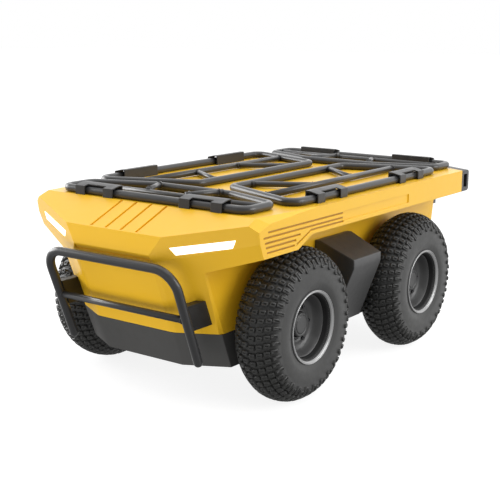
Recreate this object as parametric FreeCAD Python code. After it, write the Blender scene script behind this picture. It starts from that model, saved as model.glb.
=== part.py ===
import FreeCAD, Part
import math
import os

os.makedirs("parts", exist_ok=True)

# Four wheel skid-steer robot chassis.
# Frame: +X forward, +Y to the vehicle's left, +Z up, ground at Z = 0.
# X = 0 lies midway between the axles and Y = 0 is the plane of symmetry.  Millimetres.

# ---- driving dimensions -------------------------------------------------------------
AXLE_X = 268.0            # half wheelbase
WHEEL_Y = 283.0           # wheel centre plane
AXLE_Z = 180.0            # axle height, equal to the tyre radius
TYRE_R = 180.0
RIM_FLANGE_R = 85.0
RIM_HALF = 53.0
BEAD_R = 76.0

DECK_Z = 453.0
SIDE_Y = 331.0
HULL_Y = 211.0
REAR_X = -553.0
REAR_CORNER_X = -490.0
REAR_CORNER_Y = 205.0
SEAM_Z = 182.0
BELLY_Z = 97.5
SKIN = 4.0
ARCH_R = 200.0

HOOD_X = 454.5
HOOD_SLOPE = 0.4163
BREAK = (559.0, 141.4, 409.5)
LIP = (566.0, 112.0, 368.0)
OUT_TOP = (471.0, 331.0, 421.6)
DECK_CORNER = (454.5, 309.7, 453.0)
HOOD_OUT = (488.0, 312.8, 439.1)
EDGE_FRONT = (433.3, 331.0, 440.2)
EDGE_REAR = (240.0, 331.0, 453.0)
UNDER_Z = 394.0
REAR_FOOT_X = -571.0
CORNER = (502.0, 213.0, 332.0)
SEAM_OUT = (443.0, 210.0, 182.0)
SEAM_IN = (495.5, 111.0, 182.0)
FRONT_SLOPE = 0.39

TUBE_R = 9.5
BRACE_R = 8.0
STRUT_R = 7.0
TUBE_Z = 462.6

BIG = 3000.0


# ---- helpers ------------------------------------------------------------------------
def vec(p):
    return FreeCAD.Vector(p[0], p[1], p[2])


def box(x0, x1, y0, y1, z0, z1):
    return Part.makeBox(x1 - x0, y1 - y0, z1 - z0, FreeCAD.Vector(x0, y0, z0))


def plane_of(normal, point):
    n = vec(normal).normalize()
    return (n, n.dot(vec(point)))


def plane_through(a, b, c, inside):
    n = (vec(b) - vec(a)).cross(vec(c) - vec(a)).normalize()
    if n.dot(vec(inside) - vec(a)) > 0:
        n = n * -1.0
    return (n, n.dot(vec(a)))


def beyond(plane, inset):
    n, d = plane
    block = Part.makeBox(BIG, BIG, BIG, FreeCAD.Vector(-BIG / 2, -BIG / 2, 0))
    turn = FreeCAD.Rotation(FreeCAD.Vector(0, 0, 1), n)
    block.Placement = FreeCAD.Placement(n * (d - inset), turn)
    return block


def meet(a, b, c):
    """The point where three planes cross."""
    (na, da), (nb, db), (nc, dc) = a, b, c
    top = nb.cross(nc) * da + nc.cross(na) * db + na.cross(nb) * dc
    return top * (1.0 / na.dot(nb.cross(nc)))


def clip(shape, planes, inset):
    for plane in planes:
        shape = shape.cut(beyond(plane, inset))
    return shape


def both(planes):
    out = []
    for n, d in planes:
        out.append((n, d))
        if abs(n.y) > 1e-6:
            out.append((FreeCAD.Vector(n.x, -n.y, n.z), d))
    return out


def flip_y(shape):
    return shape.mirror(FreeCAD.Vector(0, 0, 0), FreeCAD.Vector(0, 1, 0))


def flip_x(shape):
    return shape.mirror(FreeCAD.Vector(0, 0, 0), FreeCAD.Vector(1, 0, 0))


def fuse(shapes):
    out = shapes[0]
    if len(shapes) > 1:
        out = shapes[0].multiFuse(shapes[1:])
    return out.removeSplitter()


def prism(points, height):
    face = Part.Face(Part.makePolygon([vec(p) for p in points] + [vec(points[0])]))
    return face.extrude(vec(height))


def rod(a, b, radius):
    axis = vec(b) - vec(a)
    return Part.makeCylinder(radius, axis.Length, vec(a), axis)


def tube(points, radius, bend, closed):
    pts = [vec(p) for p in points]
    n = len(pts)
    corners = range(n) if closed else range(1, n - 1)
    entry = {}
    leave = {}
    arcs = {}
    for i in corners:
        p = pts[i]
        a = (pts[i - 1] - p).normalize()
        b = (pts[(i + 1) % n] - p).normalize()
        half = a.getAngle(b) / 2.0
        reach = bend / math.tan(half)
        entry[i] = p + a * reach
        leave[i] = p + b * reach
        middle = (a + b).normalize()
        top = p + middle * (bend / math.sin(half) - bend)
        arcs[i] = Part.Arc(entry[i], top, leave[i]).toShape()
    edges = []
    spans = range(n) if closed else range(n - 1)
    for i in spans:
        j = (i + 1) % n
        start = leave.get(i, pts[i])
        end = entry.get(j, pts[j])
        edges.append(Part.makeLine(start, end))
        if j in arcs:
            edges.append(arcs[j])
    path = Part.Wire(edges)
    first = edges[0]
    origin = first.Vertexes[0].Point
    heading = (first.Vertexes[1].Point - origin).normalize()
    ring = Part.Wire(Part.makeCircle(radius, origin, heading))
    return path.makePipeShell([ring], True, False)


def save(name, shape):
    shape.exportStep("parts/" + name + ".step")


# ---- body envelope ------------------------------------------------------------------
INSIDE = (0.0, 0.0, 300.0)
FACET = plane_through(BREAK, OUT_TOP, LIP, INSIDE)
LOWER_FACET = plane_through(CORNER, SEAM_OUT, SEAM_IN, INSIDE)
FRONT_FACE = plane_of((1.0, 0.0, -FRONT_SLOPE), LIP)
NOSE_FACE = plane_of((BREAK[2] - LIP[2], 0.0, LIP[0] - BREAK[0]), BREAK)
HOOD = plane_of((HOOD_SLOPE, 0.0, 1.0), (HOOD_X, 0.0, DECK_Z))
DECK = plane_of((0.0, 0.0, 1.0), (0.0, 0.0, DECK_Z))
EDGE = plane_through(DECK_CORNER, EDGE_FRONT, EDGE_REAR, INSIDE)
FRONT_EDGE = plane_through(DECK_CORNER, HOOD_OUT, EDGE_FRONT, INSIDE)
SIDE = plane_of((0.0, 1.0, 0.0), (0.0, SIDE_Y, 0.0))
REAR = plane_of((-1.0, 0.0, 0.0), (REAR_X, 0.0, 0.0))
REAR_CORNER = plane_through(
    (REAR_CORNER_X, SIDE_Y, 0.0), (REAR_X, REAR_CORNER_Y, 0.0), (REAR_X, REAR_CORNER_Y, 400.0), INSIDE)
REAR_LOW = plane_of((-1.0, 0.0, -0.17), (REAR_FOOT_X, 0.0, UNDER_Z))
HULL_WALL = plane_of((0.0, 1.0, 0.0), (0.0, HULL_Y, 0.0))
UNDER_FRONT = plane_of((0.0, 0.305, -1.0), (0.0, 213.0, 332.0))
UNDER_SIDE = plane_of((0.0, 0.0, -1.0), (0.0, 0.0, UNDER_Z))
RAMP = plane_of((-0.473, 0.0, -1.0), (332.0, 0.0, 365.0))

TOP_PLANES = both([FACET, LOWER_FACET, HOOD, DECK, EDGE, FRONT_EDGE, SIDE, REAR, REAR_CORNER])
TOP_PLANES = TOP_PLANES + [FRONT_FACE, NOSE_FACE]
LOW_PLANES = both([LOWER_FACET, FACET, HULL_WALL]) + [FRONT_FACE, NOSE_FACE, REAR_LOW]


def upper(inset):
    block = clip(box(-700, 700, -400, 400, 200, 500), TOP_PLANES, inset)
    main = clip(block, [UNDER_SIDE], inset)
    front = clip(block, both([UNDER_FRONT]) + [RAMP], inset)
    return main.fuse(front)


def lower(inset, z0, z1):
    return clip(box(-700, 700, -400, 400, z0, z1), LOW_PLANES, inset)


def arches(radius, y0, y1):
    out = []
    for sx in (1, -1):
        start = FreeCAD.Vector(sx * AXLE_X, y0, AXLE_Z)
        wheel = Part.makeCylinder(radius, y1 - y0, start, FreeCAD.Vector(0, 1, 0))
        out.append(wheel)
        out.append(flip_y(wheel))
    return Part.makeCompound(out)


outer = upper(0.0).fuse(lower(0.0, SEAM_Z, UNDER_Z))
outer = outer.cut(arches(ARCH_R, HULL_Y + 1.5, SIDE_Y - 5.5)).removeSplitter()
neck = clip(box(-700, 400, -HULL_Y, HULL_Y, 380, UNDER_Z + 15.0), both([HULL_WALL]) + [REAR], SKIN)
inner = upper(SKIN).fuse(lower(SKIN, SEAM_Z - 20.0, UNDER_Z - SKIN)).fuse(neck)
inner = inner.cut(arches(ARCH_R + SKIN, HULL_Y - SKIN + 0.1, SIDE_Y))
skin = outer.cut(inner)

# The skin is divided into the panels that are bolted together on the real body.
# Each side panel meets the deck in a mitre along the crease.
PANEL_T = 5.5
crease = [meet(DECK, EDGE, SIDE), meet(EDGE, FRONT_EDGE, SIDE), meet(FRONT_EDGE, FACET, SIDE)]
panel_line = [(-700, 300), (700, 300), (700, crease[2].z), (crease[2].x, crease[2].z),
              (crease[1].x, crease[1].z), (crease[0].x, crease[0].z), (-700, DECK_Z)]
panel_zone = prism([(x, SIDE_Y + 1.0, z + 1.0) for x, z in panel_line], (0, -PANEL_T - 1.0, -PANEL_T - 1.0))
lid_planes = both([EDGE, FRONT_EDGE, SIDE]) + [DECK, HOOD]
below_lid = clip(box(-700, 700, -400, 400, 200, 500), lid_planes, SKIN + 0.01)
deck_zone = box(-700, BREAK[0], -400, 400, 380, 500).cut(below_lid)
front_planes = both([FACET, LOWER_FACET]) + [FRONT_FACE, NOSE_FACE]
front_core = clip(box(-1000, 700, -400, 400, 0, 600), front_planes, 16.0)
front_zone = box(350, 700, -400, 400, SEAM_Z, 500).cut(front_core)
rear_core = clip(box(-700, 1000, -400, 400, 0, 600), both([REAR_CORNER]) + [REAR], 20.0)
rear_core = rear_core.cut(box(-700, 1000, -400, 400, 0, UNDER_Z - 6.0))
rear_core = rear_core.fuse(clip(box(-700, 1000, -400, 400, 0, UNDER_Z - 6.0), [REAR_LOW], 20.0))
rear_zone = box(-700, -380, -400, 400, SEAM_Z, 500).cut(rear_core)

side_left = skin.common(panel_zone)
rest = skin.cut(panel_zone).cut(flip_y(panel_zone))
deck_cover = rest.common(deck_zone)
rest = rest.cut(deck_zone)
front_fascia = rest.common(front_zone)
rest = rest.cut(front_zone)
rear_panel = rest.common(rear_zone)
walls = rest.cut(rear_zone)

# Four grooves on the hood, running fore and aft.
HOOD_GROOVE = 7.0
HOOD_GROOVE_DEPTH = 3.0
HOOD_GROOVE_STEP = 44.7
groove_tool = []
for i in range(4):
    y = HOOD_GROOVE_STEP * (i - 1.5)
    groove = box(0, 112, -HOOD_GROOVE / 2, HOOD_GROOVE / 2, -HOOD_GROOVE_DEPTH, 6.0)
    groove.Placement = FreeCAD.Placement(
        FreeCAD.Vector(452.0, y, DECK_Z),
        FreeCAD.Rotation(FreeCAD.Vector(0, 1, 0), math.degrees(math.atan(HOOD_SLOPE))))
    groove_tool.append(groove)
deck_cover = deck_cover.cut(Part.makeCompound(groove_tool))

# Side panel: trim grooves, the line above the wheel arch and the long recessed band.
GROOVE_Y = SIDE_Y - 2.8
GROOVE_HALF = 2.2
for x0, x1, z in [(139, 440, 423.5), (139, 456, 412.7), (318, 451, 401), (335, 447, 391), (340, 443, 380)]:
    side_left = side_left.cut(box(x0, x1, GROOVE_Y, SIDE_Y + 5, z - GROOVE_HALF, z + GROOVE_HALF))
side_left = side_left.cut(box(-177, 139, GROOVE_Y, SIDE_Y + 5, 405, 427))
wedge_points = [(333, 377.8), (333, 382.6), (277, 406.2), (139, 406.2), (139, 401.8), (276, 401.8)]
side_left = side_left.cut(prism([(x, GROOVE_Y, z) for x, z in wedge_points], (0, 5, 0)))
side_right = flip_y(side_left)

# Axle openings in the hull walls.
axle_holes = []
for sx in (1, -1):
    axle_holes.append(rod((sx * AXLE_X, -230, AXLE_Z), (sx * AXLE_X, 230, AXLE_Z), 17.0))
axle_holes = Part.makeCompound(axle_holes)
wall_left = walls.common(box(-700, 700, 0, 400, 100, 500)).cut(axle_holes)

# Headlights: slanted lens plates let into the front facets, with a board behind each.
LAMP = [(549.9, 154.9, 386.2), (490.8, 285.3, 409.3), (492.0, 278.0, 391.3), (542.5, 166.6, 370.6)]


def on_plane(p, plane):
    n, d = plane
    q = vec(p)
    return q - n * (n.dot(q) - d)


def lamp_prism(grow, out, depth):
    n = FACET[0]
    pts = [on_plane(p, FACET) for p in LAMP]
    mid = (pts[0] + pts[1] + pts[2] + pts[3]) * 0.25
    pts = [mid + (p - mid) * ((p - mid).Length + grow) * (1.0 / (p - mid).Length) + n * out for p in pts]
    return prism(pts, n * -depth)


lens_left = lamp_prism(0.0, 0.6, 5.0)
board_left = lamp_prism(8.0, -4.6, 2.4)
front_fascia = front_fascia.cut(lamp_prism(0.5, 3.0, 12.0))
front_fascia = front_fascia.cut(flip_y(lamp_prism(0.5, 3.0, 12.0)))
board_left = board_left.cut(lens_left)

# Undercut: a shallow step along the front face, right under the lip of the nose.
UNDERCUT_DEPTH = 2.5
undercut = box(540, 600, -LIP[1], LIP[1], LIP[2] - 13.0, LIP[2] - 3.0)
undercut = undercut.cut(clip(box(400, 620, -200, 200, 300, 400), [FRONT_FACE], UNDERCUT_DEPTH))
front_fascia = front_fascia.cut(undercut)

# Belly pan: the dark lower tray below the seam.
belly = lower(0.0, BELLY_Z, SEAM_Z - 0.4).cut(lower(SKIN, BELLY_Z + SKIN, SEAM_Z + 20.0))
belly = belly.cut(axle_holes)

# Rear wraparound profile, a hollow rounded section mitred round the rear corners.
PROFILE_D = 38.0
PROFILE_Z0 = UNDER_Z + 0.3
PROFILE_Z1 = 452.5


def rear_line(k):
    y_turn = REAR_CORNER_Y + 0.237 * k
    x_end = REAR_CORNER_X - 1.119 * k
    return [(x_end, SIDE_Y, 0), (REAR_X - k, y_turn, 0), (REAR_X - k, -y_turn, 0), (x_end, -SIDE_Y, 0)]


def rear_ring(k0, k1, z0, z1):
    pts = rear_line(k0) + rear_line(k1)[::-1]
    return prism([(p[0], p[1], z0) for p in pts], (0, 0, z1 - z0))


rear_profile = rear_ring(0.3, PROFILE_D, PROFILE_Z0, PROFILE_Z1)
long_edges = []
for e in rear_profile.Edges:
    a = e.Vertexes[0].Point
    b = e.Vertexes[1].Point
    level = abs(a.z - b.z) < 0.01
    outside = min(-a.x, -b.x) > 520
    if level and outside and (a - b).Length > 60:
        long_edges.append(e)
rear_profile = rear_profile.makeFillet(9.0, long_edges)
rear_profile = rear_profile.cut(rear_ring(9.5, 28.5, PROFILE_Z0 + 11.0, PROFILE_Z1 - 11.0))

# Rear service strip below the profile, with a round charging socket boss.
STRIP_Z = 345.0
strip_x = REAR_FOOT_X + 0.17 * (UNDER_Z - STRIP_Z)
rear_strip = box(strip_x - 18.0, strip_x + 30.0, -209, 209, STRIP_Z - 7.0, STRIP_Z + 7.0).cut(outer)
socket_boss = rod((strip_x - 10.0, 0, STRIP_Z), (strip_x - 22.0, 0, STRIP_Z), 24.0)
rear_strip = rear_strip.fuse(socket_boss.cut(outer))
rear_strip = rear_strip.cut(rod((strip_x - 14.0, 0, STRIP_Z), (strip_x - 30.0, 0, STRIP_Z), 16.0))

# Centre housings between the wheels on each side.
house = prism([(0, HULL_Y + 0.3, 334), (0, 226, 334), (0, 318, 295), (0, 318, 273), (0, 258, 122),
               (0, HULL_Y + 0.3, 122)], (75, 0, 0))
house = house.fuse(flip_x(house)).removeSplitter()
taper = plane_of((1.0, 0.109, 0.0), (75.0, 226.0, 0.0))
taper_back = (FreeCAD.Vector(-taper[0].x, taper[0].y, 0), taper[1])
house = clip(house, [taper, taper_back], 0.0)
hollow = prism([(0, HULL_Y - 5, 320), (0, 224, 320), (0, 313, 286), (0, 313, 276), (0, 252, 128),
                (0, HULL_Y - 5, 128)], (62, 0, 0))
hollow = hollow.fuse(flip_x(hollow)).removeSplitter()
housing_left = house.cut(hollow).cut(outer)

# Racks: bent tubes with thinner rails and braces, all at one level above the deck.


def ring_of(points):
    return [(p[0], p[1], TUBE_Z) for p in points]


def bar(x0, y0, x1, y1, r):
    return rod((x0, y0, TUBE_Z), (x1, y1, TUBE_Z), r)


RAIL_Y = 297.0
side_loop = [(302, RAIL_Y), (198, 50), (-306, 50), (-390, RAIL_Y)]
rack_left = fuse([
    tube(ring_of(side_loop), TUBE_R, 26.0, True),
    bar(257, 188, -352, 188, BRACE_R),
    bar(-130, 190, -230, 52, STRUT_R),
    bar(38, 190, 126, 52, STRUT_R)])
FRONT_RAIL_X = 437.0
STRUT_Z = TUBE_Z + 5.0
end_loop = [(FRONT_RAIL_X, 272), (345, 272), (286, 118), (286, -118), (345, -272), (FRONT_RAIL_X, -272)]
rack_front = fuse([
    tube(ring_of(end_loop), TUBE_R, 24.0, True),
    bar(380, 270, 380, -270, BRACE_R),
    rod((290, 95, STRUT_Z), (378, 57, STRUT_Z), STRUT_R),
    rod((290, -95, STRUT_Z), (378, -57, STRUT_Z), STRUT_R)])
rear_shift = -88.0
rack_rear = flip_x(rack_front)
rack_rear.translate(FreeCAD.Vector(rear_shift, 0, 0))

# Clamps: folded straps that hook over a rail and stand on the deck.  The outer part of the
# top slopes down to a lip.
CLAMP_TOP = 480.0
CLAMP_LIP = 474.5
CLAMP_T = 3.2
CLAMP_IN = -20.0
CLAMP_LAND = -8.0
CLAMP_OUT = 16.0
CLAMP_INNER_TOP = CLAMP_TOP - CLAMP_T
CLAMP_INNER_LIP = CLAMP_LIP - 0.7 * CLAMP_T


def clamp(length, foot):
    section = [(CLAMP_IN, DECK_Z), (CLAMP_IN, CLAMP_TOP), (CLAMP_LAND, CLAMP_TOP), (CLAMP_OUT, CLAMP_LIP),
               (CLAMP_OUT, DECK_Z), (CLAMP_OUT - CLAMP_T, DECK_Z), (CLAMP_OUT - CLAMP_T, CLAMP_INNER_LIP),
               (CLAMP_LAND, CLAMP_INNER_TOP), (CLAMP_IN + CLAMP_T, CLAMP_INNER_TOP),
               (CLAMP_IN + CLAMP_T, DECK_Z)]
    body = prism([(-length / 2, y, z) for y, z in section], (length, 0, 0))
    return body.cut(box(-length / 2 + foot, length / 2 - foot, 3, 20, DECK_Z - 1, CLAMP_TOP + 1))


def placed(shape, x, y, turn):
    out = shape.copy()
    heading = FreeCAD.Rotation(FreeCAD.Vector(0, 0, 1), turn)
    out.Placement = FreeCAD.Placement(FreeCAD.Vector(x, y, 0), heading)
    return out


strap = clamp(127.0, 30.0)
clamps_left = Part.makeCompound([placed(strap, 158, RAIL_Y, 0), placed(strap, -226, RAIL_Y, 0)])
short = clamp(119.0, 30.0)
END_CLAMP_Y = 159.0
clamps_front = Part.makeCompound([
    placed(short, FRONT_RAIL_X, END_CLAMP_Y, -90), placed(short, FRONT_RAIL_X, -END_CLAMP_Y, -90)])
clamps_rear = flip_x(clamps_front)
clamps_rear.translate(FreeCAD.Vector(rear_shift, 0, 0))

# Front bumper loop, its cross bar and the two mounting blocks.
BUMPER_TOP = (580.4, 190.0, 346.3)
BUMPER_FOOT = (499.4, 190.0, 128.6)
BUMPER_R = 10.5
CROSS_FROM = (537.9, 190.0, 232.0)
CROSS_R = 8.0


def other(p):
    return (p[0], -p[1], p[2])


loop = tube([BUMPER_FOOT, BUMPER_TOP, other(BUMPER_TOP), other(BUMPER_FOOT)], BUMPER_R, 52.0, False)
cross = rod(CROSS_FROM, other(CROSS_FROM), CROSS_R)
caps = [Part.makeSphere(BUMPER_R, vec(foot)) for foot in (BUMPER_FOOT, other(BUMPER_FOOT))]
bumper = fuse([loop, cross] + caps)
block = prism([(440, 178, 207), (523, 178, 207), (544, 178, 265), (460, 178, 265)], (0, 20, 0))
body_fill = lower(0.0, BELLY_Z, UNDER_Z)
bracket_left = block.cut(body_fill).cut(rod(BUMPER_FOOT, BUMPER_TOP, BUMPER_R + 0.05))
bracket_left = bracket_left.cut(rod(CROSS_FROM, other(CROSS_FROM), CROSS_R + 0.05))

# Inner structure: a welded ladder frame, an equipment tray, battery and electronics.
rails = []
for sy in (1, -1):
    y0 = min(sy * 165.0, sy * 205.0)
    rail = box(-480, 395, y0, y0 + 40.0, 150, 210)
    rails.append(rail.cut(box(-481, 396, y0 + 3.0, y0 + 37.0, 153, 207)))
for x in (-420.0, -140.0, 100.0, 340.0):
    member = box(x, x + 40.0, -166, 166, 150, 190)
    rails.append(member.cut(box(x + 3.0, x + 37.0, -165, 165, 153, 187)))
ladder = fuse(rails)
tray = box(-440, 390, -160, 160, 190.1, 194)
battery = box(-190, 190, -140, 140, 194.1, 312)
upright_edges = [e for e in battery.Edges if abs(e.Vertexes[0].Point.z - e.Vertexes[1].Point.z) > 50]
battery = battery.makeFillet(8.0, upright_edges)
straps = []
for x in (-110.0, 80.0):
    hoop = box(x, x + 30, -144, 144, 194.1, 315).cut(box(x - 1, x + 31, -140.2, 140.2, 190, 312.2))
    straps.append(hoop)
battery_straps = Part.makeCompound(straps)
control_box = box(-420, -250, -120, 120, 194.1, 280)
controllers = []
for sy in (1, -1):
    y0 = 25.0 if sy > 0 else -135.0
    base = box(230, 370, y0, y0 + 110, 194.1, 215)
    fins = [box(236 + 12 * i, 240 + 12 * i, y0 + 4, y0 + 106, 214, 240) for i in range(11)]
    controllers.append(fuse([base] + fins))
motor_controllers = Part.makeCompound(controllers)


# ---- wheel --------------------------------------------------------------------------
# Built about the +Y axis at the origin with the outer side towards +Y.
def turned(profile):
    points = [FreeCAD.Vector(r, y, 0) for r, y in profile + profile[:1]]
    face = Part.Face(Part.makePolygon(points))
    return face.revolve(FreeCAD.Vector(0, 0, 0), FreeCAD.Vector(0, 1, 0), 360)


def tyre_shape():
    half = [(76.4, 48.0), (78.3, 50.2), (84.0, 50.9), (96.0, 54.5), (115.0, 58.0), (137.0, 59.0),
            (148.0, 56.5), (160.0, 47.0), (171.0, 32.0), (170.0, 28.0), (170.0, 25.0), (175.5, 24.0),
            (179.0, 13.0), (171.5, 12.5), (171.5, 8.5), (TYRE_R, 8.0)]
    half_in = [(76.4, 38.0), (88.0, 41.0), (110.0, 48.0), (135.0, 50.0), (150.0, 42.0), (162.0, 24.0)]
    outline = half + [(r, -y) for r, y in reversed(half)]
    outline = outline + [(r, -y) for r, y in half_in] + half_in[::-1]
    body = turned(outline)
    slots = []
    count = 24
    for i in range(count):
        slot = box(171.5, 200.0, -70.0, 70.0, -2.5, 2.5)
        slot.rotate(FreeCAD.Vector(0, 0, 0), FreeCAD.Vector(0, 1, 0), 360.0 * i / count)
        slots.append(slot)
    return body.cut(Part.makeCompound(slots))


DISC_Y = 8.5
BOLT_RING = 43.0
rim_profile = [(RIM_FLANGE_R, -RIM_HALF - 2), (RIM_FLANGE_R, -RIM_HALF + 1.5), (78.0, -RIM_HALF + 2.5),
               (BEAD_R, -48), (BEAD_R, -34), (66.0, -26), (66.0, 14), (BEAD_R, 30), (BEAD_R, 48),
               (78.0, RIM_HALF - 2.5), (RIM_FLANGE_R, RIM_HALF - 1.5), (RIM_FLANGE_R, RIM_HALF + 2),
               (74.0, RIM_HALF - 5), (72.5, 34), (70.0, 30), (63.0, 17), (56.0, 10.5), (51.0, DISC_Y),
               (20.3, DISC_Y), (20.3, 0.5), (52.5, 0.5), (62.0, 4), (62.0, -24), (72.5, -32),
               (72.5, -RIM_HALF - 2)]
HUB_BORE = 12.55
AXLE_R = 12.5
hub_profile = [(HUB_BORE, -48), (30.0, -48), (30.0, -8), (52.0, -8), (52.0, 0.4), (20.0, 0.4), (20.0, 12),
               (HUB_BORE, 12)]
cap_profile = [(0, 15.5), (16.5, 15.5), (20.1, 12.2), (20.1, DISC_Y + 0.1), (28.0, DISC_Y + 0.1),
               (28.0, 19.0), (26.0, 21.5), (0, 21.5)]

rim = turned(rim_profile)
hub = turned(hub_profile)
cap = turned(cap_profile)
ring_mark = Part.makeCylinder(22.5, 2, FreeCAD.Vector(0, 20.5, 0), FreeCAD.Vector(0, 1, 0)).cut(
    Part.makeCylinder(20.5, 2, FreeCAD.Vector(0, 20.5, 0), FreeCAD.Vector(0, 1, 0)))
cap = cap.cut(ring_mark)
bolts = []
bolt_holes = []
for i in range(6):
    a = 2 * math.pi * i / 6
    p = (BOLT_RING * math.cos(a), 0, BOLT_RING * math.sin(a))
    shank = rod((p[0], -7.9, p[2]), (p[0], DISC_Y + 0.1, p[2]), 3.0)
    head = rod((p[0], DISC_Y + 0.1, p[2]), (p[0], DISC_Y + 5.0, p[2]), 5.0)
    socket = rod((p[0], DISC_Y + 2.5, p[2]), (p[0], DISC_Y + 6.0, p[2]), 2.5)
    bolts.append(shank.fuse(head).cut(socket))
    bolt_holes.append(rod((p[0], -10, p[2]), (p[0], 10, p[2]), 3.1))
bolts = Part.makeCompound(bolts)
bolt_holes = Part.makeCompound(bolt_holes)
rim = rim.cut(bolt_holes)
hub = hub.cut(bolt_holes)
tyre = tyre_shape()

# Fixed axle: flange on the hull wall, root in the frame rail, journal inside the hub.
flange_y = HULL_Y + 0.3 - WHEEL_Y
axle = fuse([
    rod((0, 205.1 - WHEEL_Y, 0), (0, flange_y + 1, 0), 16.0),
    rod((0, flange_y, 0), (0, flange_y + 8, 0), 45.0),
    rod((0, flange_y + 7, 0), (0, flange_y + 14, 0), 24.0),
    rod((0, flange_y + 12, 0), (0, 11.0, 0), AXLE_R)])

WHEELS = {"front_left": (1, 1), "front_right": (1, -1), "rear_left": (-1, 1), "rear_right": (-1, -1)}
WHEEL_NODES = {"tyre": tyre, "rim": rim, "hub": hub, "hub_cap": cap, "wheel_bolts": bolts, "axle": axle}
for corner, (sx, sy) in WHEELS.items():
    for part, shape in WHEEL_NODES.items():
        piece = shape.copy()
        piece.translate(FreeCAD.Vector(sx * AXLE_X, WHEEL_Y, AXLE_Z))
        if sy < 0:
            piece = flip_y(piece)
        save(part + "_" + corner, piece)

# ---- fixed parts --------------------------------------------------------------------
save("deck_cover", deck_cover)
save("front_fascia", front_fascia)
save("rear_panel", rear_panel)
save("side_wall_left", wall_left)
save("side_wall_right", flip_y(wall_left))
save("side_panel_left", side_left)
save("side_panel_right", side_right)
save("belly_pan", belly)
save("headlight_left", lens_left)
save("headlight_right", flip_y(lens_left))
save("headlight_board_left", board_left)
save("headlight_board_right", flip_y(board_left))
save("bumper_loop", bumper)
save("bumper_bracket_left", bracket_left)
save("bumper_bracket_right", flip_y(bracket_left))
save("rack_left", rack_left)
save("rack_right", flip_y(rack_left))
save("rack_front", rack_front)
save("rack_rear", rack_rear)
save("clamps_left", clamps_left)
save("clamps_right", flip_y(clamps_left))
save("clamps_front", clamps_front)
save("clamps_rear", clamps_rear)
save("rear_profile", rear_profile)
save("rear_strip", rear_strip)
save("centre_housing_left", housing_left)
save("centre_housing_right", flip_y(housing_left))
save("ladder_frame", ladder)
save("equipment_tray", tray)
save("battery_pack", battery)
save("battery_straps", battery_straps)
save("control_box", control_box)
save("motor_controllers", motor_controllers)
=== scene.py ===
import math

import bmesh
import bpy
from mathutils import Matrix, Vector


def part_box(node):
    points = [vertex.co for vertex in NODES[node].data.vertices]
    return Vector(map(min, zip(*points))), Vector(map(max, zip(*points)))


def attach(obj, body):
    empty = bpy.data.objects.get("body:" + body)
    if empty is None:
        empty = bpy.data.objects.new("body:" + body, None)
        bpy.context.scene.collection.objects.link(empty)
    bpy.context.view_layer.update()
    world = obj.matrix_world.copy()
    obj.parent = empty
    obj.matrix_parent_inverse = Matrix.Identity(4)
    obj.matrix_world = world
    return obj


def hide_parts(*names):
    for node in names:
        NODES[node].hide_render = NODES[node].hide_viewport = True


# Looks of a four wheel skid-steer robot chassis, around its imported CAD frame.
# Metres.  +X forward, +Y to the vehicle's left, +Z up, ground at Z = 0.

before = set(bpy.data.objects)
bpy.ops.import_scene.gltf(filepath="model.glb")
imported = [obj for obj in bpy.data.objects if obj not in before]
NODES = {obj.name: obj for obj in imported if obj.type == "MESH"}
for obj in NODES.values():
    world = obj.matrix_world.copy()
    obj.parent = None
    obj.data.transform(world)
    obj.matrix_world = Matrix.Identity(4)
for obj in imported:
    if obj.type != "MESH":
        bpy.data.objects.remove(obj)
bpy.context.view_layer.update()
SIDES = (("left", 1), ("right", -1))
CHASSIS = "chassis"

# ---- driving dimensions, read from the frame ------------------------------------------
tyre_low, tyre_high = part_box("tyre_front_left")
AXLE_X = (tyre_low.x + tyre_high.x) / 2
WHEEL_Y = (tyre_low.y + tyre_high.y) / 2
TYRE_R = (tyre_high.z - tyre_low.z) / 2
AXLE_Z = tyre_low.z + TYRE_R
rack_low, rack_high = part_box("rack_left")
TUBE_R = (rack_high.z - rack_low.z) / 2
TUBE_Z = rack_low.z + TUBE_R
BRACE_R = 0.008
STRUT_R = 0.007
STRUT_LIFT = 0.005
BUMPER_R = 0.0105
CROSS_R = 0.008

# ---- camera -----------------------------------------------------------------------------
CAMERA_PLACE = Vector((2.1325, 1.5327, 0.8351))
CAMERA_TURN = (-143.81, -12.9, 0.28)
CAMERA_LENS = 73.62
CAMERA_SHIFT = (-0.0075, 0.0254)


def make_camera():
    """The camera, turned by yaw, pitch and roll in degrees."""
    yaw, pitch, roll = [math.radians(turn) for turn in CAMERA_TURN]
    ahead = Vector((math.cos(pitch) * math.cos(yaw), math.cos(pitch) * math.sin(yaw), math.sin(pitch)))
    right = ahead.cross(Vector((0, 0, 1))).normalized()
    up = right.cross(ahead)
    right, up = (right * math.cos(roll) + up * math.sin(roll), up * math.cos(roll) - right * math.sin(roll))
    data = bpy.data.cameras.new("view_camera")
    data.lens = CAMERA_LENS
    data.sensor_width = 36.0
    data.shift_x, data.shift_y = CAMERA_SHIFT
    camera = bpy.data.objects.new("view_camera", data)
    bpy.context.scene.collection.objects.link(camera)
    turn = Matrix((right, up, -ahead)).transposed().to_4x4()
    camera.matrix_world = Matrix.Translation(CAMERA_PLACE) @ turn
    bpy.context.scene.camera = camera


# ---- materials ----------------------------------------------------------------------------
def scaled(colour, share):
    return (colour[0] * share, colour[1] * share, colour[2] * share, 1.0)


def noise(tree, coords, scale, detail, place):
    node = tree.nodes.new("ShaderNodeTexNoise")
    node.location = place
    node.inputs["Scale"].default_value = scale
    node.inputs["Detail"].default_value = detail
    tree.links.new(coords, node.inputs["Vector"])
    return node.outputs["Fac"]


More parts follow.
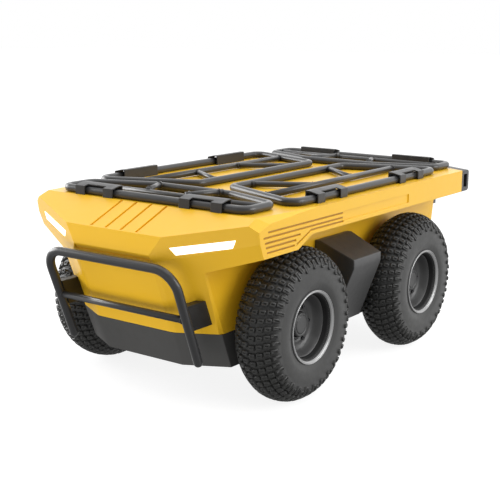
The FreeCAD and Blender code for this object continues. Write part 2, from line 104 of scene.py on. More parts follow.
def surface(name, colour, spread, roughness, rough_spread, grain, grain_depth, blotch=9.0, **sockets):
    """A surface whose colour drifts over large blotches, whose gloss varies, and which has a fine grain."""
    material = bpy.data.materials.new(name)
    material.use_nodes = True
    tree = material.node_tree
    shader = tree.nodes["Principled BSDF"]
    coords = tree.nodes.new("ShaderNodeTexCoord").outputs["Object"]

    blotches = noise(tree, coords, blotch, 4.0, (-700, 300))
    ramp = tree.nodes.new("ShaderNodeValToRGB")
    ramp.color_ramp.elements[0].position = 0.3
    ramp.color_ramp.elements[0].color = scaled(colour, 1.0 - spread)
    ramp.color_ramp.elements[1].position = 0.7
    ramp.color_ramp.elements[1].color = scaled(colour, 1.0 + spread)
    tree.links.new(blotches, ramp.inputs["Fac"])
    tree.links.new(ramp.outputs["Color"], shader.inputs["Base Color"])

    gloss = tree.nodes.new("ShaderNodeMapRange")
    gloss.inputs["From Min"].default_value = 0.3
    gloss.inputs["From Max"].default_value = 0.7
    gloss.inputs["To Min"].default_value = roughness - rough_spread
    gloss.inputs["To Max"].default_value = roughness + rough_spread
    tree.links.new(noise(tree, coords, blotch * 6.0, 3.0, (-700, 0)), gloss.inputs["Value"])
    tree.links.new(gloss.outputs["Result"], shader.inputs["Roughness"])

    bump = tree.nodes.new("ShaderNodeBump")
    bump.inputs["Strength"].default_value = 1.0
    bump.inputs["Distance"].default_value = grain_depth
    tree.links.new(noise(tree, coords, grain, 2.0, (-700, -300)), bump.inputs["Height"])
    tree.links.new(bump.outputs["Normal"], shader.inputs["Normal"])

    for socket, value in sockets.items():
        shader.inputs[socket.replace("_", " ")].default_value = value
    return material


YELLOW = (0.83, 0.475, 0.018)
MATERIALS = {
    "yellow_paint": surface("yellow_paint", YELLOW, 0.015, 0.36, 0.03, 900, 0.00002,
                            Coat_Weight=0.1, Coat_Roughness=0.2, Specular_IOR_Level=0.36),
    # The groove material is painted shade: a darker yellow that stands for the shade inside the side panels'
    # trim grooves.
    "groove_painted_shade": surface("groove_painted_shade", (0.4, 0.19, 0.006), 0.03, 0.5, 0.03, 900, 0.00002),
    "belly_paint": surface("belly_paint", (0.066, 0.065, 0.063), 0.05, 0.5, 0.05, 1100, 0.00003,
                           Specular_IOR_Level=0.2),
    "housing_paint": surface("housing_paint", (0.055, 0.055, 0.055), 0.05, 0.36, 0.05, 1100, 0.00003),
    "black_tube": surface("black_tube", (0.033, 0.033, 0.034), 0.03, 0.3, 0.012, 1500, 0.000008,
                          Coat_Weight=0.15, Coat_Roughness=0.2),
    "bracket_paint": surface("bracket_paint", (0.013, 0.012, 0.011), 0.06, 0.45, 0.05, 1500, 0.00003),
    "clamp_plate": surface("clamp_plate", (0.027, 0.027, 0.028), 0.06, 0.38, 0.05, 1400, 0.00004),
    "bumper_plastic": surface("bumper_plastic", (0.06, 0.06, 0.063), 0.06, 0.5, 0.06, 1200, 0.00006),
    "circuit_board": surface("circuit_board", (0.02, 0.12, 0.05), 0.2, 0.4, 0.05, 600, 0.0001, blotch=120.0),
    "frame_alloy": surface("frame_alloy", (0.62, 0.62, 0.64), 0.06, 0.38, 0.06, 800, 0.00003, Metallic=1.0),
    "electronics_alloy": surface("electronics_alloy", (0.34, 0.35, 0.37), 0.05, 0.4, 0.05, 900, 0.00003,
                                 Metallic=1.0),
    "battery_case": surface("battery_case", (0.045, 0.05, 0.07), 0.08, 0.5, 0.06, 700, 0.0001),
    "strap_steel": surface("strap_steel", (0.5, 0.5, 0.52), 0.05, 0.32, 0.06, 700, 0.00003, Metallic=1.0),
    "tyre_rubber": surface("tyre_rubber", (0.026, 0.026, 0.025), 0.1, 0.44, 0.05, 1300, 0.00006, blotch=14.0),
    "rim_paint": surface("rim_paint", (0.062, 0.062, 0.062), 0.06, 0.36, 0.05, 1300, 0.00003),
    "rim_lip": surface("rim_lip", (0.39, 0.39, 0.39), 0.02, 0.3, 0.02, 900, 0.000004, Metallic=0.5),
    "rim_shadow": surface("rim_shadow", (0.008, 0.008, 0.008), 0.1, 0.6, 0.05, 900, 0.00004),
    "hub_steel": surface("hub_steel", (0.4, 0.4, 0.42), 0.06, 0.36, 0.05, 900, 0.00003, Metallic=1.0),
    "cap_plastic": surface("cap_plastic", (0.052, 0.052, 0.052), 0.06, 0.4, 0.05, 1200, 0.00004),
    "bolt_steel": surface("bolt_steel", (0.055, 0.055, 0.058), 0.08, 0.36, 0.06, 1200, 0.00003, Metallic=0.3),
    "axle_steel": surface("axle_steel", (0.4, 0.4, 0.42), 0.06, 0.36, 0.05, 900, 0.00003, Metallic=1.0),
    "lamp_lens": surface("lamp_lens", (0.9, 0.9, 0.9), 0.03, 0.2, 0.03, 700, 0.00003,
                         Emission_Color=(1.0, 1.0, 0.985, 1.0), Emission_Strength=1.6),
}

# ---- mesh helpers -----------------------------------------------------------------------
SOFT_ANGLE = 28
FOLD_ANGLE = 7
JOIN_DISTANCE = 0.00001
FLAT_ANGLE = 0.5


def new_object(name, mesh, material, body=CHASSIS):
    """Links a mesh as a piece with its finish; body is the CAD body that it rides on."""
    mesh.materials.clear()
    mesh.materials.append(MATERIALS[material])
    obj = bpy.data.objects.new(name, mesh)
    bpy.context.scene.collection.objects.link(obj)
    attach(obj, body)
    return obj


def to_mesh(name, bm, smooth=True):
    """The finished mesh with outward normals; the working copy is freed."""
    bmesh.ops.recalc_face_normals(bm, faces=bm.faces)
    for face in bm.faces:
        face.smooth = smooth
    mesh = bpy.data.meshes.new(name)
    bm.to_mesh(mesh)
    bm.free()
    return mesh


def add_bevel(obj, width, segments, angle):
    """Rounds the edges that turn by more than the given angle in degrees."""
    bevel = obj.modifiers.new("soft_edges", "BEVEL")
    bevel.width = width
    bevel.segments = segments
    bevel.limit_method = "ANGLE"
    bevel.angle_limit = math.radians(angle)
    bevel.miter_outer = "MITER_ARC"
    bevel.use_clamp_overlap = True


def add_normals(obj):
    """Keeps large faces flat in shading beside their rounded edges."""
    weighted = obj.modifiers.new("even_shading", "WEIGHTED_NORMAL")
    weighted.keep_sharp = False
    weighted.weight = 100


def cad_bmesh(node):
    """The node's faces with the triangles of each flat face joined again."""
    bm = bmesh.new()
    bm.from_mesh(NODES[node].data)
    bmesh.ops.remove_doubles(bm, verts=bm.verts, dist=JOIN_DISTANCE)
    bmesh.ops.dissolve_limit(bm, angle_limit=math.radians(FLAT_ANGLE), verts=bm.verts, edges=bm.edges)
    return bm


def softened(node, material, width, segments=3, body=CHASSIS):
    """A piece with the node's own shape and rounded edges, which stands for the node."""
    obj = new_object(node + "_soft", to_mesh(node + "_soft", cad_bmesh(node)), material, body)
    add_bevel(obj, width, segments, SOFT_ANGLE)
    add_normals(obj)
    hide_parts(node)


def ring_points(centre, right, up, radius, count):
    """Points evenly spaced round a circle."""
    out = []
    for i in range(count):
        a = 2 * math.pi * i / count
        out.append(centre + right * (radius * math.cos(a)) + up * (radius * math.sin(a)))
    return out


def rounded(points, bend, closed, steps=10):
    """The polyline with each corner turned into an arc of radius bend."""
    count = len(points)
    out = []
    for i, p in enumerate(points):
        if not closed and i in (0, count - 1):
            out.append(p)
            continue
        a = (points[i - 1] - p).normalized()
        b = (points[(i + 1) % count] - p).normalized()
        half = a.angle(b) / 2
        middle = p + (a + b).normalized() * (bend / math.sin(half))
        start = (p + a * (bend / math.tan(half)) - middle).normalized()
        end = (p + b * (bend / math.tan(half)) - middle).normalized()
        for k in range(steps + 1):
            out.append(middle + start.slerp(end, k / steps) * bend)
    return out


def sweep(bm, path, radius, closed, count, dome=0.0):
    """A round tube along the path; an open tube ends in domes of the given height."""
    rings = []
    total = len(path)
    heading = (path[1] - path[0]).normalized()
    right = heading.orthogonal().normalized()
    stations = []
    for i, p in enumerate(path):
        before = path[i - 1] if closed or i else path[i]
        after = path[(i + 1) % total] if closed or i < total - 1 else path[i]
        new_heading = (after - before).normalized()
        right = (right - new_heading * right.dot(new_heading)).normalized()
        stations.append((p, new_heading, right.copy(), 1.0))
    if dome:
        levels = [(math.sin(a), math.cos(a)) for a in (0.35, 0.75, 1.15, 1.45)]
        p, heading, right, _ = stations[0]
        front = [(p - heading * (dome * s), heading, right, c) for s, c in reversed(levels)]
        p, heading, right, _ = stations[-1]
        back = [(p + heading * (dome * s), heading, right, c) for s, c in levels]
        stations = front + stations + back
    for p, heading, right, size in stations:
        up = heading.cross(right)
        rings.append([bm.verts.new(q) for q in ring_points(p, right, up, radius * size, count)])
    spans = len(rings) if closed else len(rings) - 1
    for i in range(spans):
        a, b = rings[i], rings[(i + 1) % len(rings)]
        shift = 0
        if closed and i == spans - 1:
            shift = min(range(count), key=lambda k: (a[0].co - b[k].co).length)
        for k in range(count):
            bm.faces.new((a[k], a[(k + 1) % count], b[(k + 1 + shift) % count], b[(k + shift) % count]))
    if not closed:
        bm.faces.new(rings[0])
        bm.faces.new(rings[-1])


def bead(bm, p, axis, ring_radius, thickness, count=20, around=8):
    """A weld bead: a small ring of weld metal round a tube's end."""
    axis = axis.normalized()
    right = axis.orthogonal().normalized()
    up = axis.cross(right)
    rings = []
    for i in range(count):
        a = 2 * math.pi * i / count
        out = right * math.cos(a) + up * math.sin(a)
        ripple = 1.0 + 0.12 * math.sin(a * 9)
        centre = p + out * ring_radius
        rings.append([bm.verts.new(q) for q in ring_points(centre, out, axis, thickness * ripple, around)])
    for i in range(count):
        a, b = rings[i], rings[(i + 1) % count]
        for k in range(around):
            bm.faces.new((a[k], a[(k + 1) % around], b[(k + 1) % around], b[k]))


def lathe(profile, count, closed_profile=False):
    """A solid of revolution about the Y axis, from (radius, y) points."""
    bm = bmesh.new()
    rings = []
    for r, y in profile:
        if r < 1e-6:
            rings.append([bm.verts.new((0, y, 0))] * count)
            continue
        ring = []
        for i in range(count):
            a = 2 * math.pi * i / count
            ring.append(bm.verts.new((r * math.cos(a), y, r * math.sin(a))))
        rings.append(ring)
    spans = len(rings) if closed_profile else len(rings) - 1
    for j in range(spans):
        a, b = rings[j], rings[(j + 1) % len(rings)]
        for i in range(count):
            k = (i + 1) % count
            corners = []
            for v in (a[i], a[k], b[k], b[i]):
                if v not in corners:
                    corners.append(v)
            if len(corners) > 2:
                bm.faces.new(corners)
    return bm


def curve_through(points, steps):
    """Points along a smooth (Catmull-Rom) curve through the given ones."""
    out = []
    last = len(points) - 1
    for i in range(last):
        p0 = points[max(i - 1, 0)]
        p1, p2 = points[i], points[i + 1]
        p3 = points[min(i + 2, last)]
        for k in range(steps):
            t = k / steps
            out.append(tuple(
                0.5 * (2 * b + (c - a) * t + (2 * a - 5 * b + 4 * c - d) * t * t
                       + (3 * b - a - 3 * c + d) * t ** 3)
                for a, b, c, d in zip(p0, p1, p2, p3)))
    out.append(points[last])
    return out


# ---- tyre ---------------------------------------------------------------------------------
# Outer outline of one half, as (radius, distance from the wheel's centre plane).
TYRE_OUTLINE = [
    (TYRE_R, 0.0), (0.1775, 0.018), (0.171, 0.032), (0.160, 0.047), (0.148, 0.0565), (0.137, 0.059),
    (0.115, 0.058), (0.096, 0.0545), (0.084, 0.051)]
OUTLINE_STEPS = 8
CARCASS_STEPS = 44
CARCASS_SPOKES = 144
TYRE_BEAD_R = 0.0768
TYRE_BEAD_IN = (0.0015, 0.013)

# Tread blocks: columns by distance from the crown along the outline, and their shift in rows.
KNOB_H = 0.0065
KNOB_ROWS = 56
KNOB_COLUMNS = ((0.0092, 0.0), (0.0272, 0.12), (0.0446, 0.3))
KNOB_ACROSS = 0.0134
KNOB_ROUND = 0.0106
KNOB_SLOT = (0.0030, 0.0038)
SIDE_STAGGER = 0.25
ROOT_FLARE = 0.0006
ROOT_SINK = 0.0012
CHAMFER = 0.0008
CHAMFER_DEPTH = 0.0009
SLOT_DEPTH = 0.0030
SLOT_DRAFT = (0.0003, 0.0002)

# Shoulder lugs, by where each starts and ends along the outline; long and low ones take turns.
LUG_H = 0.0038
LUG_LONG = (0.0530, 0.0705)
LUG_LOW = (0.0565, 0.0800)
LUG_ROUND = 0.0100
LUG_SLOT = (0.0030, 0.0036)
TREAD_END = 0.048
LUG_START = 0.066
LUG_END = 0.084
LUG_FADE = 0.030


class Outline:
    """The tyre's half outline by its length s from the crown, with its outward direction."""

    def __init__(self, points):
        self.points = curve_through(points, OUTLINE_STEPS)
        self.s = [0.0]
        for a, b in zip(self.points, self.points[1:]):
            self.s.append(self.s[-1] + math.hypot(b[0] - a[0], b[1] - a[1]))

    def at(self, s):
        """Radius, distance from the centre plane and outward direction at s; s < 0 is the other half."""
        s_abs = abs(s)
        i = max(k for k, value in enumerate(self.s[:-1]) if value <= s_abs)
        a, b = self.points[i], self.points[i + 1]
        t = (s_abs - self.s[i]) / (self.s[i + 1] - self.s[i])
        r = a[0] + (b[0] - a[0]) * t
        y = a[1] + (b[1] - a[1]) * t
        along = Vector((b[0] - a[0], b[1] - a[1])).normalized()
        out = Vector((along.y, -along.x))
        sign = 1.0 if s >= 0 else -1.0
        return r, y * sign, Vector((out.x, out.y * sign))


def tyre_point(outline, s, angle, depth):
    """The point at the given depth under the outline, turned round the axle by angle."""
    r, y, out = outline.at(s)
    r -= out.x * depth
    y -= out.y * depth
    return Vector((r * math.cos(angle), y, r * math.sin(angle)))


def knob(bm, outline, ends, side, angle, width, slot):
    """One tread block with chamfered edges and a moulded slot in its top, set in from its edges."""
    s0, s1 = sorted((side * ends[0], side * ends[1]))
    r_mid = outline.at((s0 + s1) / 2)[0]
    rings = []
    levels = [(-ROOT_FLARE, -ROOT_FLARE, KNOB_H + ROOT_SINK), (0.0, 0.0, CHAMFER_DEPTH),
              (CHAMFER, CHAMFER, 0.0), (*slot, 0.0),
              (slot[0] + SLOT_DRAFT[0], slot[1] + SLOT_DRAFT[1], SLOT_DEPTH)]
    for across, around, depth in levels:
        a, b = s0 + across, s1 - across
        half = (width / 2 - around) / r_mid
        corners = [(a, -half), (b, -half), (b, half), (a, half)]
        rings.append([bm.verts.new(tyre_point(outline, s, angle + t, depth)) for s, t in corners])
    for lower, upper in zip(rings, rings[1:]):
        for k in range(4):
            bm.faces.new((lower[k], lower[(k + 1) % 4], upper[(k + 1) % 4], upper[k]))
    bm.faces.new(rings[-1])


def carcass_depth(s):
    """How far the carcass lies under the outline: the tread's depth, then the lugs' height, then nothing."""
    if s < TREAD_END:
        return KNOB_H
    if s < LUG_START:
        return KNOB_H + (LUG_H - KNOB_H) * (s - TREAD_END) / (LUG_START - TREAD_END)
    if s < LUG_END:
        return LUG_H
    return LUG_H * max(0.0, 1.0 - (s - LUG_END) / LUG_FADE)


def tyre_mesh(name, spin):
    """The carcass with its tread blocks and lugs, turned about the axle by spin in degrees."""
    outline = Outline(TYRE_OUTLINE)
    end = outline.s[-1]
    carcass = []
    s_values = [end * k / CARCASS_STEPS for k in range(CARCASS_STEPS, 0, -1)]
    for s in s_values + [0.0] + [-v for v in reversed(s_values)]:
        sunk = carcass_depth(abs(s))
        r, y, out = outline.at(s)
        carcass.append((r - out.x * sunk, y - out.y * sunk))
    bead_y = carcass[0][1]
    inner = [(TYRE_BEAD_R, bead_y - inset) for inset in TYRE_BEAD_IN]
    carcass = [(r, y) for r, y in reversed(inner)] + carcass + [(r, -y) for r, y in inner]
    bm = lathe(carcass, CARCASS_SPOKES, closed_profile=True)
    step = 2 * math.pi / KNOB_ROWS
    halves = ((1, 0.0), (-1, SIDE_STAGGER))
    for i in range(KNOB_ROWS):
        for s, stagger in KNOB_COLUMNS:
            ends = (s - KNOB_ACROSS / 2, s + KNOB_ACROSS / 2)
            for side, shift in halves:
                knob(bm, outline, ends, side, step * (i + stagger + shift), KNOB_ROUND, KNOB_SLOT)
        for side, shift in halves:
            lug = LUG_LONG if i % 2 else LUG_LOW
            knob(bm, outline, lug, side, step * (i + 0.5 + shift), LUG_ROUND, LUG_SLOT)
    bmesh.ops.transform(bm, matrix=Matrix.Rotation(math.radians(spin), 4, "Y"), verts=bm.verts)
    return to_mesh(name, bm)


# ---- rim and hub cap --------------------------------------------------------------------
# Closed outlines, and the cap's open one, as (radius, distance from the wheel's centre plane).
RIM_SPOKES = 96
CAP_SPOKES = 64
TYRE_SPIN = {"front": 17, "rear": 41}
RIM_LIP = [
    (0.0838, 0.0500), (0.0848, 0.0510), (0.0852, 0.0528), (0.0849, 0.0545), (0.0840, 0.0552),
    (0.0832, 0.0548), (0.0829, 0.0534), (0.0822, 0.0530), (0.0816, 0.0538), (0.0806, 0.0537),
    (0.0788, 0.0512), (0.0772, 0.0482), (0.0766, 0.0455), (0.0772, 0.0450), (0.0800, 0.0490)]
RIM_WALL = [
    (0.0770, 0.0465), (0.0755, 0.0455), (0.0745, 0.0440), (0.0738, 0.0420), (0.0735, 0.0310),
    (0.0720, 0.0290), (0.0755, 0.0290), (0.0765, 0.0430), (0.0775, 0.0452)]
RIM_DISH = [
    (0.0735, 0.0300), (0.0722, 0.0325), (0.0708, 0.0328), (0.0696, 0.0315), (0.0672, 0.0265),
    (0.0640, 0.0185), (0.0610, 0.0130), (0.0580, 0.0104), (0.0545, 0.0094), (0.0535, 0.0086),
    (0.0438, 0.0085), (0.0430, 0.0094), (0.0412, 0.0094), (0.0404, 0.0085), (0.0290, 0.0085),
    (0.0290, 0.0045), (0.0600, 0.0045), (0.0660, 0.0100), (0.0720, 0.0250)]
RIM_INNER = [
    (0.0758, 0.030), (0.0662, 0.014), (0.0660, -0.026), (0.0757, -0.034), (0.0757, -0.048),
    (0.0780, -0.0505), (0.0850, -0.0515), (0.0850, -0.055), (0.0725, -0.055), (0.0725, -0.032),
    (0.0622, -0.024), (0.0622, 0.004), (0.0720, 0.026)]
HUB_CAP = [
    (0.0282, 0.0086), (0.0284, 0.0180), (0.0276, 0.0200), (0.0262, 0.0211), (0.0245, 0.0215),
    (0.0232, 0.0212), (0.0226, 0.0202), (0.0214, 0.0200), (0.0208, 0.0208), (0.0200, 0.0216),
    (0.0186, 0.0218), (0.0120, 0.0220), (0.0, 0.0221)]
HUB_RING = [
    (0.0345, 0.0086), (0.0345, 0.0112), (0.0337, 0.0122), (0.0318, 0.0126), (0.0300, 0.0122),
    (0.0294, 0.0108), (0.0294, 0.0086)]


def wheel_parts():
    """The parts that all four wheels share, each with its finish and the CAD node that it stands for."""
    parts = {}
    for key, profile, material, node in (
            ("rim_lip", RIM_LIP, "rim_lip", None),
            ("rim_wall", RIM_WALL, "rim_shadow", None),
            ("rim_dish", RIM_DISH, "rim_paint", "rim"),
            ("rim_barrel", RIM_INNER, "rim_paint", None)):
        parts[key] = (to_mesh(key, lathe(profile, RIM_SPOKES, closed_profile=True)), material, node)
    parts["hub_cap"] = (to_mesh("hub_cap", lathe(HUB_CAP, CAP_SPOKES)), "cap_plastic", "hub_cap")
    parts["hub_ring"] = (to_mesh("hub_ring", lathe(HUB_RING, CAP_SPOKES)), "cap_plastic", None)
    return parts


def place_wheels():
    parts = wheel_parts()
    for end, sx in (("front", 1), ("rear", -1)):
        parts["tyre"] = (tyre_mesh("tyre_" + end, TYRE_SPIN[end]), "tyre_rubber", "tyre")
        for side, sy in SIDES:
            corner = end + "_" + side
            turn = Matrix.Rotation(0 if sy > 0 else math.pi, 4, "Z")
            place = Matrix.Translation((sx * AXLE_X, sy * WHEEL_Y, AXLE_Z)) @ turn
            for key, (mesh, material, node) in parts.items():
                obj = new_object(key + "_look_" + corner, mesh, material, "wheel_" + corner)
                obj.matrix_world = place
                if node:
                    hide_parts(node + "_" + corner)
            softened("wheel_bolts_" + corner, "bolt_steel", 0.0004, 2, body="wheel_" + corner)
            softened("hub_" + corner, "hub_steel", 0.0006, 2, body="wheel_" + corner)
            softened("axle_" + corner, "axle_steel", 0.0006, 2)


# ---- tubes ------------------------------------------------------------------------------
LOOP_SIDES = 24
BAR_SIDES = 20
WELD_PLACE = 1.03
WELD_PROUD = 0.0004
WELD_SIZE = 0.0013


def flat_path(points):
    """The points at the height of the rack tubes."""
    return [Vector((x, y, TUBE_Z)) for x, y in points]


def tube_piece(name, node, loops, bars):
    """Bent tubes and straight bars welded into one piece."""
    bm = bmesh.new()
    for points, bend, radius, closed in loops:
        path = rounded(points, bend, closed)
        sweep(bm, path, radius, closed, LOOP_SIDES, 0.0 if closed else radius)
    for a, b, radius in bars:
        sweep(bm, [a, a.lerp(b, 0.5), b], radius, False, BAR_SIDES)
        along = (b - a).normalized()
        for end, sign in ((a, 1), (b, -1)):
            place = end + along * (sign * TUBE_R * WELD_PLACE)
            bead(bm, place, along, radius + WELD_PROUD, WELD_SIZE)
    obj = new_object(name, to_mesh(name, bm), "black_tube")
    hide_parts(node)


def mirrored(points, sx, sy, dx=0.0):
    return [(sx * x + dx, sy * y) for x, y in points]


# Rack tubes by their centre lines, as (x, y): the left rack, and the front rack.
SIDE_BEND = 0.026
END_BEND = 0.024
SIDE_LOOP = [(0.302, 0.297), (0.198, 0.050), (-0.306, 0.050), (-0.390, 0.297)]
SIDE_RAIL = ((0.257, 0.188), (-0.352, 0.188))
SIDE_BRACES = [((-0.130, 0.190), (-0.230, 0.052)), ((0.038, 0.190), (0.126, 0.052))]
END_LOOP = [
    (0.437, 0.272), (0.345, 0.272), (0.286, 0.118), (0.286, -0.118), (0.345, -0.272), (0.437, -0.272)]
END_RAIL = ((0.380, 0.270), (0.380, -0.270))
END_STRUTS = [((0.290, 0.095), (0.378, 0.057)), ((0.290, -0.095), (0.378, -0.057))]
REAR_SHIFT = -0.088


def make_racks():
    """Side racks mirror each other, and the rear rack is the front one turned round and shifted."""
    lift = Vector((0, 0, STRUT_LIFT))
    for side, sy in SIDES:
        bars = [(*flat_path(mirrored(SIDE_RAIL, 1, sy)), BRACE_R)]
        for ends in SIDE_BRACES:
            bars.append((*flat_path(mirrored(ends, 1, sy)), STRUT_R))
        loop = flat_path(mirrored(SIDE_LOOP, 1, sy))
        tube_piece("rack_tube_" + side, "rack_" + side, [(loop, SIDE_BEND, TUBE_R, True)], bars)
    for end, sx, dx in (("front", 1, 0.0), ("rear", -1, REAR_SHIFT)):
        bars = [(*flat_path(mirrored(END_RAIL, sx, 1, dx)), BRACE_R)]
        for ends in END_STRUTS:
            a, b = flat_path(mirrored(ends, sx, 1, dx))
            bars.append((a + lift, b + lift, STRUT_R))
        loop = flat_path(mirrored(END_LOOP, sx, 1, dx))
        tube_piece("rack_tube_" + end, "rack_" + end, [(loop, END_BEND, TUBE_R, True)], bars)


BUMPER_FOOT = Vector((0.4994, 0.190, 0.1286))
BUMPER_TOP = Vector((0.5804, 0.190, 0.3463))
BUMPER_BEND = 0.052
CROSS_Z = 0.232


def across(p):
    """The mirror image of a point on the other side of the object."""
    return Vector((p.x, -p.y, p.z))


def make_bumper():
    loop = [BUMPER_FOOT, BUMPER_TOP, across(BUMPER_TOP), across(BUMPER_FOOT)]
    cross_at = BUMPER_FOOT.lerp(BUMPER_TOP, (CROSS_Z - BUMPER_FOOT.z) / (BUMPER_TOP.z - BUMPER_FOOT.z))
    tube_piece("bumper_tube", "bumper_loop", [(loop, BUMPER_BEND, BUMPER_R, False)],
               [(cross_at, across(cross_at), CROSS_R)])
    for side, _ in SIDES:
        softened("bumper_bracket_" + side, "bracket_paint", 0.0015)


# ---- sheet metal body -------------------------------------------------------------------
# The two long folds at the sides of the front face, below FOLD_TOP, end in a narrow facet.
FOLD_WIDTH = 0.0065
FOLD_TOP = 0.352
FOLD_FRONT_X = 0.44
FOLD_LENGTH = 0.1
FOLD_TURN = (0.15, 1.2)
SHEET_EDGE = 0.0005

# Floor of the side panels' trim grooves, where thin strips of painted shade lie, and the grooves' middle
# lines as (x, z).
GROOVE_FLOOR = 0.3282
GROOVE_HALF = 0.0022
SHADE_STRIP_HALF = 0.0002
SIDE_GROOVES = [
    [(0.140, 0.4235), (0.4395, 0.4235)], [(0.140, 0.4127), (0.4555, 0.4127)],
    [(0.3185, 0.401), (0.4505, 0.401)], [(0.3355, 0.391), (0.4465, 0.391)],
    [(0.3405, 0.380), (0.4425, 0.380)], [(0.140, 0.404), (0.2765, 0.404), (0.3325, 0.3802)]]


def folded(node, material, facet_front):
    """A sheet metal piece: flat faces that meet in crisp folds."""
    bm = cad_bmesh(node)
    if facet_front:
        facet_folds(bm)
    obj = new_object(node + "_sheet", to_mesh(node + "_sheet", bm, smooth=False), material)
    add_bevel(obj, SHEET_EDGE, 2, FOLD_ANGLE)
    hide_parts(node)


def facet_folds(bm):
    """Cuts a narrow facet along the long upright folds between the front face and the lower corner facets."""
    bmesh.ops.bisect_plane(bm, geom=bm.verts[:] + bm.edges[:] + bm.faces[:],
                           plane_co=(0, 0, FOLD_TOP), plane_no=(0, 0, 1))
    folds = []
    for edge in bm.edges:
        if len(edge.link_faces) != 2 or edge.calc_length() < FOLD_LENGTH:
            continue
        a, b = [v.co for v in edge.verts]
        upright = abs(a.z - b.z) > 0.8 * edge.calc_length()
        front = min(a.x, b.x) > FOLD_FRONT_X and max(a.z, b.z) < FOLD_TOP + 0.001
        turn = edge.calc_face_angle_signed(0.0)
        if upright and front and FOLD_TURN[0] < turn < FOLD_TURN[1]:
            folds.append(edge)
    if folds:
        bmesh.ops.bevel(bm, geom=folds, offset=FOLD_WIDTH, segments=1, profile=0.5, affect="EDGES")


def make_groove_shade_strips():
    """Painted shade in the side panels' trim grooves: thin dark strips laid on the groove floors, standing
    for the shade there.
    """
    for side, sign in SIDES:
        bm = bmesh.new()
        for points in SIDE_GROOVES:
            for (x0, z0), (x1, z1) in zip(points, points[1:]):
                corners = [(x0, z0 - GROOVE_HALF), (x1, z1 - GROOVE_HALF),
                           (x1, z1 + GROOVE_HALF), (x0, z0 + GROOVE_HALF)]
                back, front = [[bm.verts.new((x, sign * y, z)) for x, z in corners]
                               for y in (GROOVE_FLOOR - SHADE_STRIP_HALF, GROOVE_FLOOR + SHADE_STRIP_HALF)]
                bm.faces.new(back)
                bm.faces.new(front[::-1])
                for i in range(4):
                    j = (i + 1) % 4
                    bm.faces.new((back[j], back[i], front[i], front[j]))
        name = "groove_shade_strip_" + side
        new_object(name, to_mesh(name, bm, smooth=False), "groove_painted_shade")


def make_body():
    for node in ("deck_cover", "front_fascia", "rear_panel", "side_wall_left", "side_wall_right",
                 "side_panel_left", "side_panel_right"):
        folded(node, "yellow_paint", node == "front_fascia")
    make_groove_shade_strips()
    softened("belly_pan", "belly_paint", 0.0012)
    softened("rear_profile", "bumper_plastic", 0.0012)
    softened("rear_strip", "bumper_plastic", 0.0010)
    for side, _ in SIDES:
        softened("centre_housing_" + side, "housing_paint", 0.0022, 4)
        softened("headlight_" + side, "lamp_lens", 0.0006, 2)
    for place in ("left", "right", "front", "rear"):
        softened("clamps_" + place, "clamp_plate", 0.0010)


# CAD nodes that keep their own mesh and take a better finish.
CARRIED = {
    "headlight_board_left": "circuit_board", "headlight_board_right": "circuit_board",
    "ladder_frame": "frame_alloy", "equipment_tray": "frame_alloy", "battery_pack": "battery_case",
    "battery_straps": "strap_steel", "control_box": "electronics_alloy",
    "motor_controllers": "electronics_alloy"}


def dress_inner_parts():
    for node, material in CARRIED.items():
        obj = NODES[node]
        if not obj.material_slots:
            obj.data.materials.append(MATERIALS[material])
        for place in obj.material_slots:
            place.material = MATERIALS[material]


# ---- studio -----------------------------------------------------------------------------
# The sky's strength by height (z of the direction), and how much of it comes from each side.
SKY_BY_HEIGHT = ((-1.0, 0.28), (-0.7, 0.32), (-0.15, 0.95), (0.3, 1.0), (1.0, 0.7))
SKY_BEHIND = 1.35
SKY_AHEAD = 0.45
SKY_PLUS_Y = 0.95
SKY_MINUS_Y = 1.15
FLOOR_HALF = 30.0
FLOOR_GLOW = 0.86


def area_light(name, place, target, size, size_y, energy, reflected=True):
    """A soft rectangular light that faces the target; reflected says whether glossy surfaces show it."""
    data = bpy.data.lights.new(name, "AREA")
    data.shape = "RECTANGLE"
    data.size = size
    data.size_y = size_y
    data.energy = energy
    light = bpy.data.objects.new(name, data)
    light.visible_glossy = reflected
    bpy.context.scene.collection.objects.link(light)
    ahead = (Vector(target) - Vector(place)).normalized()
    light.matrix_world = Matrix.Translation(place) @ ahead.to_track_quat("-Z", "Y").to_matrix().to_4x4()


def by_direction(tree, value, ends, strengths):
    """A strength that runs smoothly between two values of one direction component."""
    node = tree.nodes.new("ShaderNodeMapRange")
    node.interpolation_type = "SMOOTHSTEP"
    node.inputs["From Min"].default_value, node.inputs["From Max"].default_value = ends
    node.inputs["To Min"].default_value, node.inputs["To Max"].default_value = strengths
    tree.links.new(value, node.inputs["Value"])
    return node.outputs["Result"]


def product(tree, a, b):
    node = tree.nodes.new("ShaderNodeMath")
    node.operation = "MULTIPLY"
    tree.links.new(a, node.inputs[0])
    tree.links.new(b, node.inputs[1])
    return node.outputs[0]


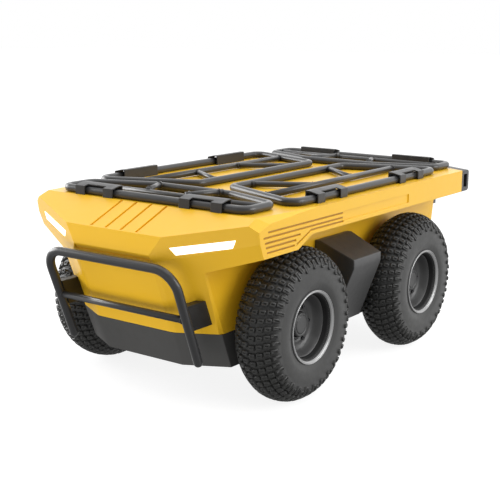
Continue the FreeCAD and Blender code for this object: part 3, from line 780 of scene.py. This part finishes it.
def make_world():
    """White where the camera sees it directly; as a light, its strength varies with the direction."""
    world = bpy.data.worlds.new("studio_sky")
    bpy.context.scene.world = world
    world.use_nodes = True
    tree = world.node_tree
    tree.nodes.clear()
    direction = tree.nodes.new("ShaderNodeSeparateXYZ")
    tree.links.new(tree.nodes.new("ShaderNodeTexCoord").outputs["Generated"], direction.inputs[0])
    strength = by_direction(tree, direction.outputs["X"], (-1.0, 0.85), (SKY_BEHIND, SKY_AHEAD))
    strength = product(tree, strength, by_direction(
        tree, direction.outputs["Y"], (-0.8, 0.8), (SKY_MINUS_Y, SKY_PLUS_Y)))
    for (z0, low), (z1, high) in zip(SKY_BY_HEIGHT, SKY_BY_HEIGHT[1:]):
        strength = product(tree, strength, by_direction(
            tree, direction.outputs["Z"], (z0, z1), (1.0, high / low)))
    start = tree.nodes.new("ShaderNodeMath")
    start.operation = "MULTIPLY"
    start.inputs[1].default_value = SKY_BY_HEIGHT[0][1]
    tree.links.new(strength, start.inputs[0])
    lit = tree.nodes.new("ShaderNodeBackground")
    lit.inputs["Color"].default_value = (1.0, 1.0, 1.0, 1.0)
    tree.links.new(start.outputs[0], lit.inputs["Strength"])
    seen = tree.nodes.new("ShaderNodeBackground")
    seen.inputs["Color"].default_value = (1.0, 1.0, 1.0, 1.0)
    rays = tree.nodes.new("ShaderNodeLightPath")
    mix = tree.nodes.new("ShaderNodeMixShader")
    out = tree.nodes.new("ShaderNodeOutputWorld")
    tree.links.new(rays.outputs["Is Camera Ray"], mix.inputs[0])
    tree.links.new(lit.outputs[0], mix.inputs[1])
    tree.links.new(seen.outputs[0], mix.inputs[2])
    tree.links.new(mix.outputs[0], out.inputs[0])


def make_floor():
    """A pale plane on the ground that lights nothing and hides nothing behind it."""
    bm = bmesh.new()
    corners = [(-1, -1), (1, -1), (1, 1), (-1, 1)]
    bm.faces.new([bm.verts.new((x * FLOOR_HALF, y * FLOOR_HALF, 0.0)) for x, y in corners])
    floor = bpy.data.objects.new("floor", to_mesh("floor", bm))
    floor.data.materials.append(surface("floor", (0.3, 0.3, 0.3), 0.004, 0.85, 0.03, 40, 0.0001, blotch=2.0,
                                        Specular_IOR_Level=0.0, Emission_Color=(1.0, 1.0, 1.0, 1.0),
                                        Emission_Strength=FLOOR_GLOW))
    bpy.context.scene.collection.objects.link(floor)
    floor.visible_diffuse = False
    floor.visible_glossy = False
    floor.visible_transmission = False
    floor.visible_shadow = False


def make_studio():
    make_world()
    make_floor()
    area_light("overhead", (0.0, 0.0, 3.2), (0.0, 0.0, 0.3), 4.5, 4.5, 62)
    area_light("minus_y_key", (0.9, -3.6, 1.4), (0.0, 0.0, 0.3), 3.0, 2.0, 100)
    area_light("plus_y_fill", (-1.0, 3.6, 1.8), (0.0, 0.0, 0.3), 3.0, 2.0, 75)
    area_light("front_low", (2.6, -0.1, -0.7), (0.4, 0.0, 0.25), 3.2, 2.2, 42, reflected=False)
    bpy.context.scene.view_settings.view_transform = "Standard"
    bpy.context.scene.view_settings.look = "None"


make_camera()
make_studio()
make_body()
make_racks()
make_bumper()
place_wheels()
dress_inner_parts()
